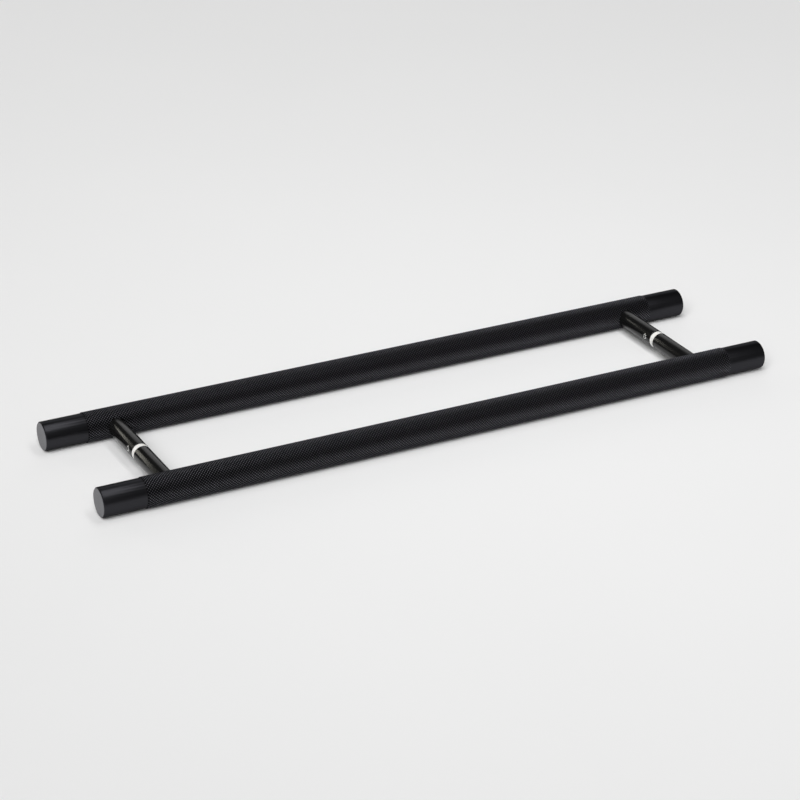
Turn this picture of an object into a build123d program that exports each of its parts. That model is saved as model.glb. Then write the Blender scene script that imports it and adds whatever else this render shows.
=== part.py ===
from build123d import *
import os
from math import cos, radians, sin, sqrt

# Entry door pull: two knurled bars back to back, joined through the door by their posts.
# X runs along the bars, Y from the front bar to the rear bar and Z up.
# The origin is the middle of the plane in which the two pulls meet. Sizes are in millimetres.

# Bars
bar_length = 600.0
bar_diameter = 24.0
end_chamfer = 0.8
plain_end_length = 35.5
knurl_raise = 0.5

# Posts
post_inset = 60.0
hand_clearance = 51.0
post_diameter = 15.0
post_chamfer = 0.4
socket_clearance = 0.05
socket_lip = 1.3

# Washers
washer_thickness = 2.4
washer_setback = 0.25
washer_bore_clearance = 0.3

# Studs that hold each post in its bar
stud_diameter = 8.0
stud_bar_grip = 10.0
stud_post_grip = 10.0
stud_hex = 4.0
stud_hex_depth = 4.0

# Bolts that pass through the door, screwed into the front posts
bolt_diameter = 8.0
bolt_length = 25.0
bolt_head_diameter = 10.0
bolt_head_height = 14.0
bolt_hex = 5.0
bolt_hex_depth = 4.0
head_clearance = 0.15
head_room = 2.0

# Grub screws that lock the rear posts on the bolt heads
grub_diameter = 5.0
grub_offset = 8.0
grub_turn = 7.5
grub_recess = 0.2
grub_tip_diameter = 1.5
grub_hex = 2.5
grub_hex_depth = 2.0
grub_countersink = 0.6
groove_depth = 1.4
groove_clearance = 0.1

# Threads and holes
thread_clearance = 0.05
thread_runout = 2.0
cut_overrun = 1.0

# Derived sizes
bar_radius = bar_diameter / 2
knurl_radius = bar_radius + knurl_raise
post_radius = post_diameter / 2

# Holes to drill in the door for the two posts.
hole_centres = bar_length - 2 * post_inset
post_places = {"left": -hole_centres / 2, "right": hole_centres / 2}

# The bar's axis lies this far from the plane in which the pulls meet.
bar_offset = hand_clearance + knurl_radius

# The socket's flat floor lies below the lowest edge of its round mouth.
socket_radius = post_radius + socket_clearance
socket_floor = sqrt(knurl_radius**2 - socket_radius**2) - socket_lip
floor_offset = bar_offset - socket_floor
post_length = floor_offset - washer_thickness

washer_radius = post_radius - washer_setback
washer_bore_radius = bolt_diameter / 2 + washer_bore_clearance

stud_radius = stud_diameter / 2 - thread_clearance
bolt_radius = bolt_diameter / 2 - thread_clearance
bolt_head_radius = bolt_head_diameter / 2
head_bore_radius = bolt_head_radius + head_clearance
bolt_post_grip = bolt_length - 2 * washer_thickness

grub_radius = grub_diameter / 2 - thread_clearance
grub_tip_radius = grub_tip_diameter / 2
groove_radius = bolt_head_radius - groove_depth
grub_tip_offset = groove_radius + groove_clearance
grub_length = post_radius - grub_recess - grub_tip_offset
grub_angle = radians(grub_turn)
grub_direction = (-cos(grub_angle), 0, sin(grub_angle))


def turned(*points):
    """Solid of revolution about Z from a half profile of (radius, height) points."""
    outline = Polyline(*points, close=True)
    return revolve(make_face(Plane.XZ * outline), Axis.Z)


def blind_hole(radius, depth):
    """Cutter for a flat-bottomed hole that goes up from height 0."""
    return turned((0, -cut_overrun), (radius, -cut_overrun), (radius, depth), (0, depth))


def hex_socket(across_flats, depth):
    """Cutter for a hexagon socket that goes down from height 0."""
    hexagon = RegularPolygon(across_flats / 2, 6, major_radius=False)
    return Pos(0, 0, -depth) * extrude(hexagon, depth + cut_overrun)


def along(direction, origin, x_direction=None):
    """Location that lays a part's own Z axis along a direction."""
    return Plane(origin=origin, x_dir=x_direction, z_dir=direction).location


def make_bar():
    """Bar along X with plain ends, a raised grip and two post sockets that open towards +Y."""
    half_length = bar_length / 2
    half_grip = half_length - plain_end_length
    bar = turned(
        (0, -half_length),
        (bar_radius - end_chamfer, -half_length),
        (bar_radius, -half_length + end_chamfer),
        (bar_radius, -half_grip),
        (knurl_radius, -half_grip + knurl_raise),
        (knurl_radius, half_grip - knurl_raise),
        (bar_radius, half_grip),
        (bar_radius, half_length - end_chamfer),
        (bar_radius - end_chamfer, half_length),
        (0, half_length),
    )
    bar = along((1, 0, 0), (0, 0, 0)) * bar
    mouth = knurl_radius + cut_overrun
    socket = turned((0, socket_floor), (socket_radius, socket_floor), (socket_radius, mouth), (0, mouth))
    stud_hole = blind_hole(stud_diameter / 2, stud_bar_grip + thread_runout)
    for place in post_places.values():
        bar -= along((0, 1, 0), (place, 0, 0)) * socket
        bar -= along((0, -1, 0), (place, socket_floor, 0)) * stud_hole
    return bar


def post_blank():
    """Plain post with its door end at height 0 and its bar end tapped for the stud."""
    post = turned(
        (0, 0),
        (post_radius - post_chamfer, 0),
        (post_radius, post_chamfer),
        (post_radius, post_length),
        (0, post_length),
    )
    stud_hole = blind_hole(stud_diameter / 2, stud_post_grip + thread_runout)
    return post - along((0, 0, -1), (0, 0, post_length)) * stud_hole


def make_front_post():
    """Post tapped from its door end for the through bolt."""
    return post_blank() - blind_hole(bolt_diameter / 2, bolt_post_grip + thread_runout)


def make_rear_post():
    """Post bored to slide over the bolt head, with a grub screw hole towards its own +X."""
    head_bore = blind_hole(head_bore_radius, bolt_head_height + head_room)
    hole_radius = grub_diameter / 2
    grub_hole = turned(
        (0, 0),
        (hole_radius, 0),
        (hole_radius, post_radius - grub_countersink),
        (hole_radius + 2 * grub_countersink, post_radius + grub_countersink),
        (0, post_radius + grub_countersink),
    )
    return post_blank() - head_bore - along((1, 0, 0), (0, 0, grub_offset)) * grub_hole


def make_washer():
    """Flat washer with its door face at height 0."""
    return turned(
        (washer_bore_radius, 0),
        (washer_radius, 0),
        (washer_radius, washer_thickness),
        (washer_bore_radius, washer_thickness),
    )


def make_stud():
    """Headless stud, half in the post below height 0 and half in the bar above it."""
    stud = turned(
        (0, -stud_post_grip),
        (stud_radius, -stud_post_grip),
        (stud_radius, stud_bar_grip),
        (0, stud_bar_grip),
    )
    return stud - along((0, 0, -1), (0, 0, -stud_post_grip)) * hex_socket(stud_hex, stud_hex_depth)


def make_bolt():
    """Through bolt with its shoulder at height 0 and a grooved head above it."""
    groove_floor = grub_tip_radius + groove_clearance
    groove_mouth = groove_floor + groove_depth
    bolt = turned(
        (0, -bolt_length),
        (bolt_radius, -bolt_length),
        (bolt_radius, 0),
        (bolt_head_radius, 0),
        (bolt_head_radius, grub_offset - groove_mouth),
        (groove_radius, grub_offset - groove_floor),
        (groove_radius, grub_offset + groove_floor),
        (bolt_head_radius, grub_offset + groove_mouth),
        (bolt_head_radius, bolt_head_height),
        (0, bolt_head_height),
    )
    return bolt - Pos(0, 0, bolt_head_height) * hex_socket(bolt_hex, bolt_hex_depth)


def make_grub_screw():
    """Socket grub screw with its cone point at height 0, pointing down."""
    edge = grub_radius - grub_tip_radius
    screw = turned(
        (0, 0),
        (grub_tip_radius, 0),
        (grub_radius, edge),
        (grub_radius, grub_length),
        (0, grub_length),
    )
    return screw - Pos(0, 0, grub_length) * hex_socket(grub_hex, grub_hex_depth)


def make_nodes():
    """Every piece in its place, by node name."""
    front = (0, -1, 0)
    rear = (0, 1, 0)
    bar = make_bar()
    nodes = {
        "front_bar": Pos(0, -bar_offset, 0) * bar,
        "rear_bar": Pos(0, bar_offset, 0) * Rot(0, 0, 180) * bar,
    }
    for side, x in post_places.items():
        front_end = (x, -washer_thickness, 0)
        rear_end = (x, washer_thickness, 0)
        grub_tip = Vector(x, washer_thickness + grub_offset, 0) + Vector(*grub_direction) * grub_tip_offset
        nodes[f"front_post_{side}"] = along(front, front_end) * make_front_post()
        nodes[f"rear_post_{side}"] = along(rear, rear_end, grub_direction) * make_rear_post()
        nodes[f"front_washer_{side}"] = along(front, (x, 0, 0)) * make_washer()
        nodes[f"rear_washer_{side}"] = along(rear, (x, 0, 0)) * make_washer()
        nodes[f"front_stud_{side}"] = along(front, (x, -floor_offset, 0)) * make_stud()
        nodes[f"rear_stud_{side}"] = along(rear, (x, floor_offset, 0)) * make_stud()
        nodes[f"through_bolt_{side}"] = along(rear, rear_end) * make_bolt()
        nodes[f"grub_screw_{side}"] = along(grub_direction, grub_tip) * make_grub_screw()
    return nodes


os.makedirs("parts", exist_ok=True)
for node_name, solid in make_nodes().items():
    export_step(solid, f"parts/{node_name}.step")
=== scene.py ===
import bmesh
import bpy
from collections import namedtuple
from math import cos, pi, radians, sin, tan, tau
from mathutils import Matrix, Quaternion, Vector


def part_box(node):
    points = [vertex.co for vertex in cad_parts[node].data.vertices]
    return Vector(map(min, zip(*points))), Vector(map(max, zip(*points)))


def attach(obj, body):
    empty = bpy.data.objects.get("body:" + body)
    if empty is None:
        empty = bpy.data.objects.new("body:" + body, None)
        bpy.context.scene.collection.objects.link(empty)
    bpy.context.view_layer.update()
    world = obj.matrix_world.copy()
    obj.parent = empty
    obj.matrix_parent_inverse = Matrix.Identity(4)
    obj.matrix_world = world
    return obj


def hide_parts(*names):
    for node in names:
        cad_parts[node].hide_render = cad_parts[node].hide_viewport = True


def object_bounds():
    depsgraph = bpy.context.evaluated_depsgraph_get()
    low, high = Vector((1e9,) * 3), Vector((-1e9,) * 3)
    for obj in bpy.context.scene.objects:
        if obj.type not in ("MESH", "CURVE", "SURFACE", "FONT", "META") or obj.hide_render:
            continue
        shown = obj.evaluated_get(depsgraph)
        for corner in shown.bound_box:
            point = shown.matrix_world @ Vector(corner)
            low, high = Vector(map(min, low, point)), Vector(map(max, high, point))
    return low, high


# Looks of an entry door pull: two knurled bars on turned posts, with white washers and steel fixings.
# X runs along the bars, Y from the front bar to the rear bar and Z up. Lengths are in metres.

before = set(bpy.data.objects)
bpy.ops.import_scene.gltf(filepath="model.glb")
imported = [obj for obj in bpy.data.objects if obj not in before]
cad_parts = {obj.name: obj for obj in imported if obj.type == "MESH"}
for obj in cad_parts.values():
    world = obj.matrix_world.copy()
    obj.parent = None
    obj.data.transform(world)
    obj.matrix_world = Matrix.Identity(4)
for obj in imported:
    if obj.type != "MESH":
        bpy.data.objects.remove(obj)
cad_low, cad_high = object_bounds()
mm = 0.001

# Bars
knurl_starts = 32
knurl_raise = 0.5 * mm
knurl_depth = 0.7 * mm
knurl_land = 0.36
plain_end_length = 35.5 * mm
end_chamfer = 0.8 * mm
socket_clearance = 0.05 * mm
socket_overrun = 9.0 * mm

# Posts
hand_clearance = 51.0 * mm
post_chamfer = 0.4 * mm
post_rounding = 0.12 * mm
stud_hole_depth = 12.0 * mm
bolt_hole_depth = 22.2 * mm
head_bore_radius = 5.15 * mm
head_bore_depth = 16.0 * mm

# Washers
washer_bore_radius = 4.3 * mm
washer_rounding = 0.3 * mm

# Fixings
thread_radius = 4.0 * mm
thread_pitch = 1.25 * mm
thread_clearance = 0.05 * mm
thread_end_chamfer = 0.6 * mm
stud_grip = 10.0 * mm
stud_hex = 4.0 * mm
bolt_length = 25.0 * mm
bolt_neck = 5.0 * mm
bolt_head_radius = 5.0 * mm
bolt_head_height = 14.0 * mm
bolt_hex = 5.0 * mm
hex_depth = 4.0 * mm
groove_depth = 1.4 * mm
groove_floor = 0.85 * mm

# Grub screws
grub_radius = 2.5 * mm
grub_pitch = 0.8 * mm
grub_offset = 8.0 * mm
grub_turn = radians(7.5)
grub_recess = 0.2 * mm
grub_tip_radius = 0.75 * mm
grub_tip_offset = 3.7 * mm
grub_hex = 2.5 * mm
grub_hex_depth = 2.0 * mm
grub_countersink = 0.6 * mm
grub_end_chamfer = 0.3 * mm

# Mesh fineness
round_segments = 96
corner_steps = 4
thread_segments = 48
smooth_angle = radians(28.0)
cut_overrun = 1.0 * mm

# Bar finish: shares of light reflected, with painted shade in the knurl's grooves, a painted highlight on
# its tops and a painted reflection on the faced ends, then roughness and the widths of the borders between
# them
# Painted shade in the knurl's grooves and a painted highlight on its tops
groove_painted_shade_tone = 0.003
top_painted_highlight_tone = 0.12
plain_tone = 0.038
# End faces: tones of the facing rings, lightened as a painted reflection
faced_tones_with_painted_reflection = (0.065, 0.115)
knurl_roughness = 0.45
plain_roughness = 0.33
faced_roughness = 0.36
top_fade_start = 0.24 * mm
top_fade_end = 0.04 * mm
end_border = 0.2 * mm

# Stage
floor_half_size = 20.0
room_front = 0.14
room_back = 0.03
room_fade = 0.6

# Camera, as the photograph was taken
camera_azimuth = radians(-27.1533)
camera_elevation = radians(25.4455)
camera_roll = radians(0.0585)
camera_distance = 2.056921
camera_side = -0.00995
camera_rise = -0.005074
camera_sensor = 36.0
camera_lens = 111.9544

# Places read from the frame
bar_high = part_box("front_bar")[1]
half_length = bar_high.x
knurl_radius = bar_high.z
bar_radius = knurl_radius - knurl_raise
bar_offset = hand_clearance + knurl_radius
post_low, post_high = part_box("front_post_right")
post_place = (post_low.x + post_high.x) / 2
post_radius = post_high.z
post_end = -post_low.y
washer_thickness = -post_high.y
washer_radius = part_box("front_washer_right")[1].z
post_length = post_end - washer_thickness
post_places = {"left": -post_place, "right": post_place}


# Mesh tools

def add_piece(name, vertices, faces):
    """Object at the origin with a closed mesh whose faces look outwards."""
    mesh = bpy.data.meshes.new(name)
    mesh.from_pydata(vertices, [], faces)
    work = bmesh.new()
    work.from_mesh(mesh)
    bmesh.ops.recalc_face_normals(work, faces=work.faces)
    work.to_mesh(mesh)
    work.free()
    piece = bpy.data.objects.new(name, mesh)
    bpy.context.scene.collection.objects.link(piece)
    return piece


def lathe(name, profile, segments=round_segments, ring=False):
    """Solid of revolution about Z from (radius, height) points. A ring's profile closes on itself."""
    vertices = []
    rows = []
    for radius, height in profile:
        count = segments if radius > 0 else 1
        rows.append([len(vertices) + i for i in range(count)])
        for i in range(count):
            angle = tau * i / segments
            vertices.append((radius * cos(angle), radius * sin(angle), height))
    faces = []
    following = rows[1:] + rows[:1] if ring else rows[1:]
    for lower, upper in zip(rows, following):
        for i in range(segments):
            corners = [
                lower[i % len(lower)],
                lower[(i + 1) % len(lower)],
                upper[(i + 1) % len(upper)],
                upper[i % len(upper)],
            ]
            faces.append(list(dict.fromkeys(corners)))
    return add_piece(name, vertices, faces)


def rounded(before, corner, after, radius):
    """Points of a small arc in place of a profile's corner."""
    corner = Vector(corner)
    towards_start = (Vector(before) - corner).normalized()
    towards_end = (Vector(after) - corner).normalized()
    half_angle = towards_start.angle(towards_end) / 2
    reach = radius / tan(half_angle)
    start = corner + towards_start * reach
    end = corner + towards_end * reach
    centre = corner + (towards_start + towards_end).normalized() * radius / sin(half_angle)
    points = []
    for step in range(corner_steps + 1):
        spoke = (start - centre).lerp(end - centre, step / corner_steps)
        points.append(tuple(centre + spoke.normalized() * radius))
    return points


def soften(profile, corners, radius):
    """Profile with the listed corners rounded."""
    points = []
    count = len(profile)
    for i, point in enumerate(profile):
        if i in corners:
            points += rounded(profile[i - 1], point, profile[(i + 1) % count], radius)
        else:
            points.append(point)
    return points


def place(piece, direction, origin, x_direction=(1, 0, 0)):
    """Lays a piece's own Z axis along a direction."""
    z_axis = Vector(direction).normalized()
    y_axis = z_axis.cross(Vector(x_direction)).normalized()
    x_axis = y_axis.cross(z_axis)
    turn = Matrix((x_axis, y_axis, z_axis)).transposed().to_4x4()
    piece.data.transform(Matrix.Translation(origin) @ turn)
    return piece


def combine(piece, other, operation):
    """Cuts, joins or trims a piece with another, which is used up."""
    modifier = piece.modifiers.new("combine", "BOOLEAN")
    modifier.operation = operation
    modifier.solver = "MANIFOLD"
    modifier.object = other
    depsgraph = bpy.context.evaluated_depsgraph_get()
    mesh = bpy.data.meshes.new_from_object(piece.evaluated_get(depsgraph))
    piece.modifiers.clear()
    piece.data = mesh
    bpy.data.objects.remove(other)
    return piece


def dress(piece, node, material):
    """Finishes a piece that stands for a node: shading, material, body and slot."""
    piece.data.materials.clear()
    piece.data.materials.append(material)
    piece.data.shade_smooth()
    piece.data.set_sharp_from_angle(angle=smooth_angle)
    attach(piece, "root")
    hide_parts(node)


# Bars

# Vertices of one crossing of the knurl's grid, towards its four neighbours
Crossing = namedtuple("Crossing", "lower upper left right")


def bar_stations():
    """Places along a bar, from end to end, as (x, valley radius, crest radius)."""
    grip_start = half_length - plain_end_length
    knurl_start = grip_start - knurl_raise
    knurl_floor = knurl_radius - knurl_depth
    column_width = tau * knurl_radius / (2 * knurl_starts)
    count = round(2 * knurl_start / column_width)
    left = [
        (-half_length, bar_radius - end_chamfer, bar_radius - end_chamfer),
        (-half_length + end_chamfer, bar_radius, bar_radius),
        (-grip_start, bar_radius, bar_radius),
    ]
    middle = []
    for i in range(count + 1):
        middle.append((knurl_start * (2 * i / count - 1), knurl_floor, knurl_radius))
    right = [(-x, valley, crest) for x, valley, crest in reversed(left)]
    return left + middle + right


def knurled_bar(name, y):
    """Bar along X. Its grip is a grid of crossings, every other one the flat top of a four-sided point."""
    columns = 2 * knurl_starts
    stations = bar_stations()
    vertices = []

    def add_vertex(x, radius, column):
        angle = tau * column / columns
        vertices.append((x, y + radius * cos(angle), radius * sin(angle)))
        return len(vertices) - 1

    def add_crossing(i, j):
        """A low crossing is one vertex. A high one is the flat top of a point, with four."""
        x, valley, crest = stations[i]
        if valley == crest or (i + j) % 2 == 0:
            vertex = add_vertex(x, valley, j)
            return Crossing(vertex, vertex, vertex, vertex)
        lower_x = x + knurl_land * (stations[i - 1][0] - x)
        upper_x = x + knurl_land * (stations[i + 1][0] - x)
        return Crossing(
            lower=add_vertex(lower_x, crest, j),
            upper=add_vertex(upper_x, crest, j),
            left=add_vertex(x, crest, j - knurl_land),
            right=add_vertex(x, crest, j + knurl_land),
        )

    grid = [[add_crossing(i, j) for j in range(columns)] for i in range(len(stations))]
    faces = []
    for row in grid:
        for top in row:
            if top.lower != top.upper:
                faces.append((top.lower, top.left, top.upper, top.right))

    # A cell's corners are a, b, c and d in turn. A knurled cell is folded between its low corners.
    for i, (row, next_row) in enumerate(zip(grid, grid[1:])):
        for j in range(columns):
            a = row[j]
            b = row[(j + 1) % columns]
            c = next_row[(j + 1) % columns]
            d = next_row[j]
            if len({*a, *b, *c, *d}) == 4:
                parts = [(a.lower, b.lower, c.lower, d.lower)]
            elif (i + j) % 2:
                parts = [(b.lower, d.lower, a.upper, a.right), (b.lower, c.lower, c.left, d.lower)]
            else:
                parts = [(a.lower, b.left, b.upper, c.lower), (a.lower, c.lower, d.right, d.lower)]
            faces += [list(dict.fromkeys(part)) for part in parts]
    faces.append([crossing.lower for crossing in grid[0]])
    faces.append([crossing.lower for crossing in grid[-1]])
    return add_piece(name, vertices, faces)


def post_socket():
    """Cutter for a post's socket, which opens upwards from height 0, and the stud hole below it."""
    radius = post_radius + socket_clearance
    profile = [
        (0, -stud_hole_depth),
        (thread_radius, -stud_hole_depth),
        (thread_radius, 0),
        (radius, 0),
        (radius, socket_overrun),
        (0, socket_overrun),
    ]
    return lathe("socket_cutter", profile)


def make_bar(side, facing):
    """One bar with its two sockets. Facing is the Y direction from the bar to the meeting plane."""
    bar = knurled_bar(f"{side}_bar_knurled", -facing * bar_offset)
    for x in post_places.values():
        socket = place(post_socket(), (0, facing, 0), (x, -facing * post_end, 0))
        combine(bar, socket, "DIFFERENCE")
    return bar


# Posts and washers

def post_profile(bore_radius, bore_depth):
    """Half section of a post with its door end at height 0."""
    profile = [
        (0, bore_depth),
        (bore_radius, bore_depth),
        (bore_radius, 0),
        (post_radius - post_chamfer, 0),
        (post_radius, post_chamfer),
        (post_radius, post_length),
        (thread_radius, post_length),
        (thread_radius, post_length - stud_hole_depth),
        (0, post_length - stud_hole_depth),
    ]
    outer_corners = (3, 4, 5)
    return soften(profile, outer_corners, post_rounding)


def grub_direction():
    """Direction in which a grub screw faces out of its post."""
    return Vector((-cos(grub_turn), 0, sin(grub_turn)))


def make_front_post(name, x):
    """Post tapped for the through bolt."""
    post = lathe(name, post_profile(thread_radius, bolt_hole_depth))
    return place(post, (0, -1, 0), (x, -washer_thickness, 0))


def make_rear_post(name, x):
    """Post bored for the bolt head, with a countersunk hole for the grub screw."""
    post = lathe(name, post_profile(head_bore_radius, head_bore_depth))
    place(post, (0, 1, 0), (x, washer_thickness, 0))
    hole = [
        (0, 0),
        (grub_radius, 0),
        (grub_radius, post_radius - grub_countersink),
        (grub_radius + 2 * grub_countersink, post_radius + grub_countersink),
        (0, post_radius + grub_countersink),
    ]
    cutter = lathe("grub_hole_cutter", hole)
    place(cutter, grub_direction(), (x, washer_thickness + grub_offset, 0), (0, 1, 0))
    return combine(post, cutter, "DIFFERENCE")


def make_washer(name, x, facing):
    """Moulded washer with soft edges. Facing is the Y direction away from the meeting plane."""
    profile = [
        (washer_bore_radius, 0),
        (washer_radius, 0),
        (washer_radius, washer_thickness),
        (washer_bore_radius, washer_thickness),
    ]
    profile = soften(profile, range(len(profile)), washer_rounding)
    washer = lathe(name, profile, ring=True)
    return place(washer, (0, facing, 0), (x, 0, 0))


# Fixings

def threaded_rod(radius, pitch, low, high):
    """Rod about Z with a sixty degree thread that runs past both heights, to be trimmed afterwards."""
    crest_share = 0.125
    root_share = 0.167
    half_angle = radians(30.0)
    overrun_turns = 2
    flank_share = (1 - crest_share - root_share) / 2
    root_radius = radius - flank_share * pitch / tan(half_angle)
    outline = [
        (0, radius),
        (crest_share, radius),
        (crest_share + flank_share, root_radius),
        (crest_share + flank_share + root_share, root_radius),
    ]
    turns = int((high - low) / pitch) + 2 * overrun_turns
    start = low - overrun_turns * pitch
    end = start + pitch * (turns + 1)
    step = len(outline)
    vertices = []
    for turn in range(turns):
        for share, row_radius in outline:
            for j in range(thread_segments):
                angle = tau * j / thread_segments
                height = start + pitch * (turn + share + j / thread_segments)
                vertices.append((row_radius * cos(angle), row_radius * sin(angle), height))

    def index(row, column):
        return row * thread_segments + column

    last_row = turns * step - 1
    last_column = thread_segments - 1
    faces = []
    for row in range(last_row):
        for j in range(last_column):
            faces.append((index(row, j), index(row, j + 1), index(row + 1, j + 1), index(row + 1, j)))
    for row in range(last_row - step):
        seam = (index(row, last_column), index(row + step, 0))
        faces.append((*seam, index(row + step + 1, 0), index(row + 1, last_column)))
    bottom = [index(0, j) for j in range(thread_segments)]
    bottom += [index(row, 0) for row in range(step, 0, -1)]
    top = [index(last_row, j) for j in range(thread_segments)]
    top += [index(last_row - row, last_column) for row in range(1, step + 1)]
    for loop, height in ((bottom, start - pitch), (top, end + pitch)):
        vertices.append((0, 0, height))
        apex = len(vertices) - 1
        for first, second in zip(loop, loop[1:] + loop[:1]):
            faces.append((first, second, apex))
    return add_piece("threaded_rod", vertices, faces)


def hex_cutter(across_flats, depth):
    """Cutter for a hexagon socket that goes down from height 0, with a countersunk mouth."""
    corner = across_flats / 2 / cos(pi / 6)
    hexagon = [(0, -depth), (corner, -depth), (corner, cut_overrun), (0, cut_overrun)]
    cutter = lathe("hex_cutter", hexagon, segments=6)
    mouth_depth = corner - across_flats / 2
    mouth = [(0, -mouth_depth), (corner, 0), (corner + cut_overrun, cut_overrun), (0, cut_overrun)]
    return combine(cutter, lathe("hex_mouth", mouth), "UNION")


def make_stud(name):
    """Headless stud with its middle at height 0 and its hexagon socket at the lower end."""
    radius = thread_radius - thread_clearance
    blank = [
        (0, -stud_grip),
        (radius - thread_end_chamfer, -stud_grip),
        (radius, -stud_grip + thread_end_chamfer),
        (radius, stud_grip - thread_end_chamfer),
        (radius - thread_end_chamfer, stud_grip),
        (0, stud_grip),
    ]
    stud = lathe(name, blank)
    combine(stud, threaded_rod(radius, thread_pitch, -stud_grip, stud_grip), "INTERSECT")
    socket = place(hex_cutter(stud_hex, hex_depth), (0, 0, -1), (0, 0, -stud_grip))
    return combine(stud, socket, "DIFFERENCE")


def make_bolt(name):
    """Through bolt with its shoulder at height 0, a threaded shank below and a grooved head above."""
    radius = thread_radius - thread_clearance
    shank = [
        (0, -bolt_length),
        (radius - thread_end_chamfer, -bolt_length),
        (radius, -bolt_length + thread_end_chamfer),
        (radius, -bolt_neck),
        (0, -bolt_neck),
    ]
    groove_mouth = groove_floor + groove_depth
    head = [
        (0, -bolt_neck - thread_pitch),
        (radius - thread_pitch, -bolt_neck - thread_pitch),
        (radius, -bolt_neck),
        (radius, 0),
        (bolt_head_radius, 0),
        (bolt_head_radius, grub_offset - groove_mouth),
        (bolt_head_radius - groove_depth, grub_offset - groove_floor),
        (bolt_head_radius - groove_depth, grub_offset + groove_floor),
        (bolt_head_radius, grub_offset + groove_mouth),
        (bolt_head_radius, bolt_head_height),
        (0, bolt_head_height),
    ]
    bolt = lathe(name, shank)
    combine(bolt, threaded_rod(radius, thread_pitch, -bolt_length, -bolt_neck), "INTERSECT")
    combine(bolt, lathe("bolt_head", head), "UNION")
    socket = place(hex_cutter(bolt_hex, hex_depth), (0, 0, 1), (0, 0, bolt_head_height))
    return combine(bolt, socket, "DIFFERENCE")


def make_grub_screw(name):
    """Grub screw with its cone point at height 0, pointing down."""
    radius = grub_radius - thread_clearance
    length = post_radius - grub_recess - grub_tip_offset
    blank = [
        (0, 0),
        (grub_tip_radius, 0),
        (radius, radius - grub_tip_radius),
        (radius, length - grub_end_chamfer),
        (radius - grub_end_chamfer, length),
        (0, length),
    ]
    screw = lathe(name, blank)
    combine(screw, threaded_rod(radius, grub_pitch, 0, length), "INTERSECT")
    socket = place(hex_cutter(grub_hex, grub_hex_depth), (0, 0, 1), (0, 0, length))
    return combine(screw, socket, "DIFFERENCE")


# Materials

class Graph:
    """Short way to lay out one material's nodes."""

    def __init__(self, name):
        self.material = bpy.data.materials.new(name)
        self.material.use_nodes = True
        self.tree = self.material.node_tree
        self.shader = self.tree.nodes["Principled BSDF"]

    def node(self, kind, settings=None, **inputs):
        node = self.tree.nodes.new(kind)
        for key, value in (settings or {}).items():
            setattr(node, key, value)
        for key, value in inputs.items():
            self.feed(node.inputs[key.replace("_", " ")], value)
        return node

    def feed(self, socket, value):
        if isinstance(value, bpy.types.NodeSocket):
            self.tree.links.new(value, socket)
        else:
            socket.default_value = value

    def maths(self, operation, first, second=0.0):
        node = self.tree.nodes.new("ShaderNodeMath")
        node.operation = operation
        self.feed(node.inputs[0], first)
        self.feed(node.inputs[1], second)
        return node.outputs[0]

    def place(self):
        return self.node("ShaderNodeTexCoord").outputs["Object"]

    def noise(self, vector, scale, detail=2.0):
        node = self.node("ShaderNodeTexNoise", Vector=vector, Scale=scale, Detail=detail)
        return node.outputs["Fac"]

    def spread(self, value, low, high, from_low=0.0, from_high=1.0):
        inputs = {"From_Min": from_low, "From_Max": from_high, "To_Min": low, "To_Max": high}
        return self.node("ShaderNodeMapRange", Value=value, **inputs).outputs["Result"]

    def tint(self, share, first, second):
        node = self.tree.nodes.new("ShaderNodeValToRGB")
        self.feed(node.inputs["Fac"], share)
        node.color_ramp.elements[0].color = (*first, 1)
        node.color_ramp.elements[1].color = (*second, 1)
        return node.outputs["Color"]

    def mix(self, share, first, second):
        node = self.node("ShaderNodeMix", Factor=share)
        self.feed(node.inputs["A"], first)
        self.feed(node.inputs["B"], second)
        return node.outputs["Result"]

    def shade(self, amount, colour):
        node = self.node("ShaderNodeVectorMath", {"operation": "SCALE"}, Vector=colour, Scale=amount)
        return node.outputs["Vector"]

    def bump(self, height, strength, distance):
        node = self.node("ShaderNodeBump", Height=height, Strength=strength, Distance=distance)
        self.feed(self.shader.inputs["Normal"], node.outputs["Normal"])

    def set(self, **inputs):
        for key, value in inputs.items():
            self.feed(self.shader.inputs[key.replace("_", " ")], value)


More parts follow.
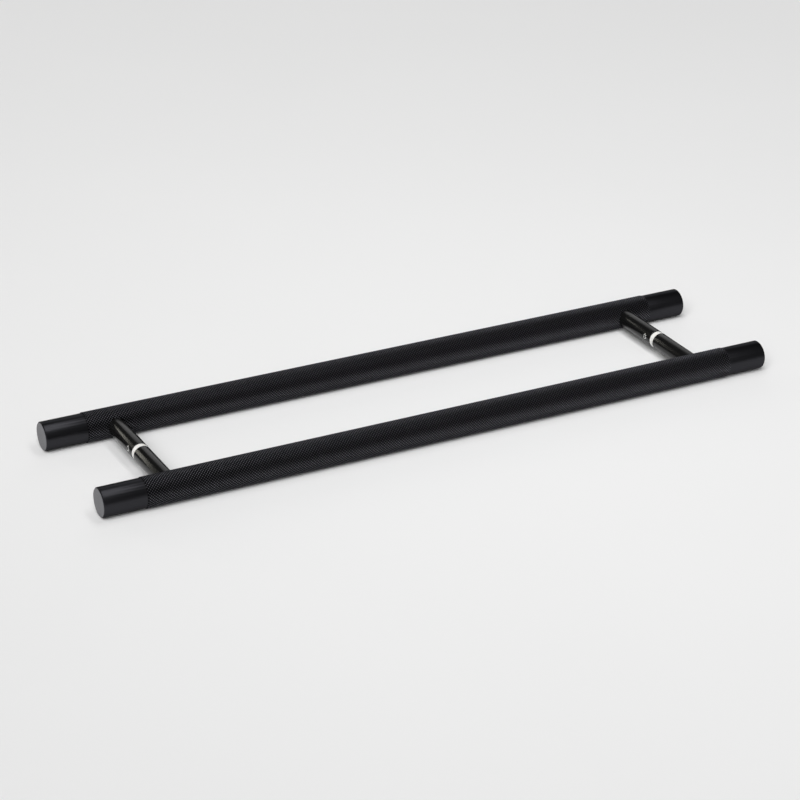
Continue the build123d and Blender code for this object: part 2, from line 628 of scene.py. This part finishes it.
def bar_black():
    """Matt black anodising with a fine grain. Painted shade darkens the knurl's grooves and a painted
    highlight lightens its tops; the faced ends are lighter from their own facing and from a painted
    reflection.
    """
    graph = Graph("bar_black")
    vector = graph.place()
    axes = graph.node("ShaderNodeSeparateXYZ", Vector=vector).outputs
    along = graph.maths("ABSOLUTE", axes["X"])
    y = graph.maths("SUBTRACT", graph.maths("ABSOLUTE", axes["Y"]), bar_offset)
    y_square = graph.maths("MULTIPLY", y, y)
    z_square = graph.maths("MULTIPLY", axes["Z"], axes["Z"])
    radius = graph.maths("SQRT", graph.maths("ADD", y_square, z_square))

    # Masks that rise to 1 on the knurl's tops, on the plain ends and on the end faces; the tops' mask runs
    # from painted shade in the grooves to a painted highlight on the tops
    grip_end = half_length - plain_end_length
    top = graph.spread(radius, 0.0, 1.0, knurl_radius - top_fade_start, knurl_radius - top_fade_end)
    plain = graph.spread(along, 0.0, 1.0, grip_end - end_border, grip_end)
    face = graph.spread(along, 0.0, 1.0, half_length - end_border, half_length - end_border / 2)

    blotches = graph.noise(vector, scale=60.0, detail=3.0)
    grain = graph.noise(vector, scale=2600.0)
    rings = graph.noise(radius, scale=900.0)
    # Facing rings on the end faces, lightened as a painted reflection
    faced_tone_with_painted_reflection = graph.spread(rings, *faced_tones_with_painted_reflection, from_low=0.3, from_high=0.7)
    # Painted shade in the grooves, rising to a painted highlight on the tops
    knurl_painted_light_tone = graph.spread(top, groove_painted_shade_tone, top_painted_highlight_tone)
    tone = graph.mix(plain, knurl_painted_light_tone, graph.mix(face, plain_tone, faced_tone_with_painted_reflection))
    even = graph.mix(plain, knurl_roughness, graph.spread(face, plain_roughness, faced_roughness))
    graph.set(
        Base_Color=graph.shade(tone, (0.97, 0.97, 1.08)),
        Metallic=graph.spread(face, 1.0, 0.0),
        Roughness=graph.maths("ADD", even, graph.spread(blotches, -0.03, 0.03)),
        Specular_Tint=(0.5, 0.5, 0.5, 1.0),
    )
    graph.bump(grain, strength=0.12, distance=0.05 * mm)
    return graph.material


def post_black():
    """Satin black with fine turning marks round the post."""
    graph = Graph("post_black")
    vector = graph.place()
    stretch = graph.node("ShaderNodeMapping", Vector=vector, Scale=(40.0, 5000.0, 40.0)).outputs["Vector"]
    marks = graph.noise(stretch, scale=1.0)
    blotches = graph.noise(vector, scale=90.0, detail=3.0)
    graph.set(
        Base_Color=graph.tint(blotches, (0.004, 0.004, 0.004), (0.007, 0.007, 0.0068)),
        Roughness=graph.spread(marks, 0.20, 0.28),
        Specular_IOR_Level=0.28,
    )
    graph.bump(marks, strength=0.06, distance=0.02 * mm)
    return graph.material


def washer_white():
    """White nylon, faintly mottled and a little translucent."""
    graph = Graph("washer_white")
    vector = graph.place()
    mottle = graph.noise(vector, scale=300.0, detail=3.0)
    grain = graph.noise(vector, scale=4000.0)
    graph.set(
        Base_Color=graph.tint(mottle, (0.76, 0.75, 0.72), (0.84, 0.83, 0.81)),
        Roughness=graph.spread(mottle, 0.42, 0.52),
        Subsurface_Weight=0.15,
        Subsurface_Radius=(0.9 * mm, 0.8 * mm, 0.7 * mm),
        Subsurface_Scale=1.0,
    )
    graph.bump(grain, strength=0.10, distance=0.03 * mm)
    return graph.material


def steel(name, low, high):
    """Machined steel with fine tool marks and slight changes of tone."""
    blue_share = 0.98
    graph = Graph(name)
    vector = graph.place()
    tone = graph.noise(vector, scale=400.0, detail=3.0)
    marks = graph.noise(vector, scale=5000.0)
    graph.set(
        Base_Color=graph.tint(tone, (low, low, low * blue_share), (high, high, high * blue_share)),
        Metallic=1.0,
        Roughness=graph.spread(marks, 0.18, 0.30),
    )
    graph.bump(marks, strength=0.08, distance=0.02 * mm)
    return graph.material


def floor_pale():
    """Seamless pale surface."""
    graph = Graph("floor_pale")
    mottle = graph.noise(graph.place(), scale=3.0)
    graph.set(
        Base_Color=graph.tint(mottle, (0.84, 0.84, 0.84), (0.86, 0.86, 0.86)),
        Roughness=0.9,
        Specular_IOR_Level=0.1,
    )
    return graph.material


# Stage, light and camera

def add_floor():
    """Wide floor on which the object lies."""
    half = floor_half_size
    corners = [(-half, -half), (half, -half), (half, half), (-half, half)]
    mesh = bpy.data.meshes.new("floor")
    mesh.from_pydata([(x, y, cad_low.z) for x, y in corners], [], [(0, 1, 2, 3)])
    floor = bpy.data.objects.new("floor", mesh)
    bpy.context.scene.collection.objects.link(floor)
    mesh.materials.append(floor_pale())


def add_light(name, kind, location, energy, away=None, lean=0.0, **settings):
    """Lamp that shines at the origin, or against the direction away. Lean turns it about its own beam."""
    lamp = bpy.data.lights.new(name, kind)
    lamp.energy = energy
    for key, value in settings.items():
        setattr(lamp, key, value)
    holder = bpy.data.objects.new(name, lamp)
    holder.location = location
    turn = Vector(away or location).to_track_quat("Z", "Y") @ Quaternion((0, 0, 1), lean)
    holder.rotation_euler = turn.to_euler()
    bpy.context.scene.collection.objects.link(holder)


def add_lights():
    """Soft main light from the front left, a strip overhead, a tall window and a weak card behind."""
    add_light("front_left_softbox", "SUN", (-1.27, -1.66, 2.15), energy=3.0, angle=radians(48.0))
    overhead = {"shape": "RECTANGLE", "size": 0.26, "size_y": 1.05}
    add_light("overhead_softbox", "AREA", (0.09, -0.12, 1.05), energy=2.7, away=(0, 0, 1), **overhead)
    window = {"shape": "RECTANGLE", "size": 0.9, "size_y": 4.6, "color": (1.0, 0.97, 0.86)}
    add_light("back_left_window", "AREA", (-4.7, 8.73, 2.1), energy=84.0, lean=radians(27.0), **window)
    add_light("back_right_card", "SUN", (1.23, 2.40, 1.32), energy=0.26, angle=radians(36.0))


def add_world():
    """Pale room, brighter in front of the object than behind it."""
    world = bpy.data.worlds.new("pale_room")
    world.use_nodes = True
    nodes = world.node_tree.nodes
    links = world.node_tree.links
    direction = nodes.new("ShaderNodeTexCoord").outputs["Generated"]
    axes = nodes.new("ShaderNodeSeparateXYZ")
    links.new(direction, axes.inputs["Vector"])
    fade = nodes.new("ShaderNodeMapRange")
    fade.inputs["From Min"].default_value = -room_fade
    fade.inputs["From Max"].default_value = room_fade
    fade.inputs["To Min"].default_value = room_front
    fade.inputs["To Max"].default_value = room_back
    links.new(axes.outputs["Y"], fade.inputs["Value"])
    background = nodes["Background"]
    background.inputs["Color"].default_value = (1, 1, 1, 1)
    links.new(fade.outputs["Result"], background.inputs["Strength"])
    bpy.context.scene.world = world


def add_camera():
    """Camera at the photograph's viewpoint."""
    level = cos(camera_elevation)
    back = Vector((sin(camera_azimuth) * level, -cos(camera_azimuth) * level, sin(camera_elevation)))
    right = Vector((cos(camera_azimuth), sin(camera_azimuth), 0))
    up = back.cross(right)
    tilted_right = right * cos(camera_roll) + up * sin(camera_roll)
    tilted_up = up * cos(camera_roll) - right * sin(camera_roll)
    location = tilted_right * camera_side + tilted_up * camera_rise + back * camera_distance
    turn = Matrix((tilted_right, tilted_up, back)).transposed().to_4x4()
    lens = bpy.data.cameras.new("camera")
    lens.sensor_width = camera_sensor
    lens.lens = camera_lens
    camera = bpy.data.objects.new("camera", lens)
    camera.matrix_world = Matrix.Translation(location) @ turn
    bpy.context.scene.collection.objects.link(camera)
    bpy.context.scene.camera = camera


# Assembly

def build_pieces():
    """Every piece in its place, with its finish."""
    bar_finish = bar_black()
    post_finish = post_black()
    washer_finish = washer_white()
    fastener_finish = steel("fastener_steel", 0.48, 0.58)
    grub_finish = steel("grub_steel", 0.56, 0.66)
    dress(make_bar("front", 1), "front_bar", bar_finish)
    dress(make_bar("rear", -1), "rear_bar", bar_finish)
    for side, x in post_places.items():
        front_post = make_front_post(f"front_post_{side}_turned", x)
        dress(front_post, f"front_post_{side}", post_finish)
        rear_post = make_rear_post(f"rear_post_{side}_turned", x)
        dress(rear_post, f"rear_post_{side}", post_finish)
        for end, facing in (("front", -1), ("rear", 1)):
            washer = make_washer(f"{end}_washer_{side}_moulded", x, facing)
            dress(washer, f"{end}_washer_{side}", washer_finish)
            stud = make_stud(f"{end}_stud_{side}_threaded")
            place(stud, (0, facing, 0), (x, facing * post_end, 0))
            dress(stud, f"{end}_stud_{side}", fastener_finish)
        bolt = make_bolt(f"through_bolt_{side}_threaded")
        place(bolt, (0, 1, 0), (x, washer_thickness, 0))
        dress(bolt, f"through_bolt_{side}", fastener_finish)
        screw = make_grub_screw(f"grub_screw_{side}_threaded")
        tip = Vector((x, washer_thickness + grub_offset, 0)) + grub_direction() * grub_tip_offset
        place(screw, grub_direction(), tip, (0, 1, 0))
        dress(screw, f"grub_screw_{side}", grub_finish)


build_pieces()
add_floor()
add_lights()
add_world()
add_camera()
bpy.context.scene.view_settings.view_transform = "Standard"
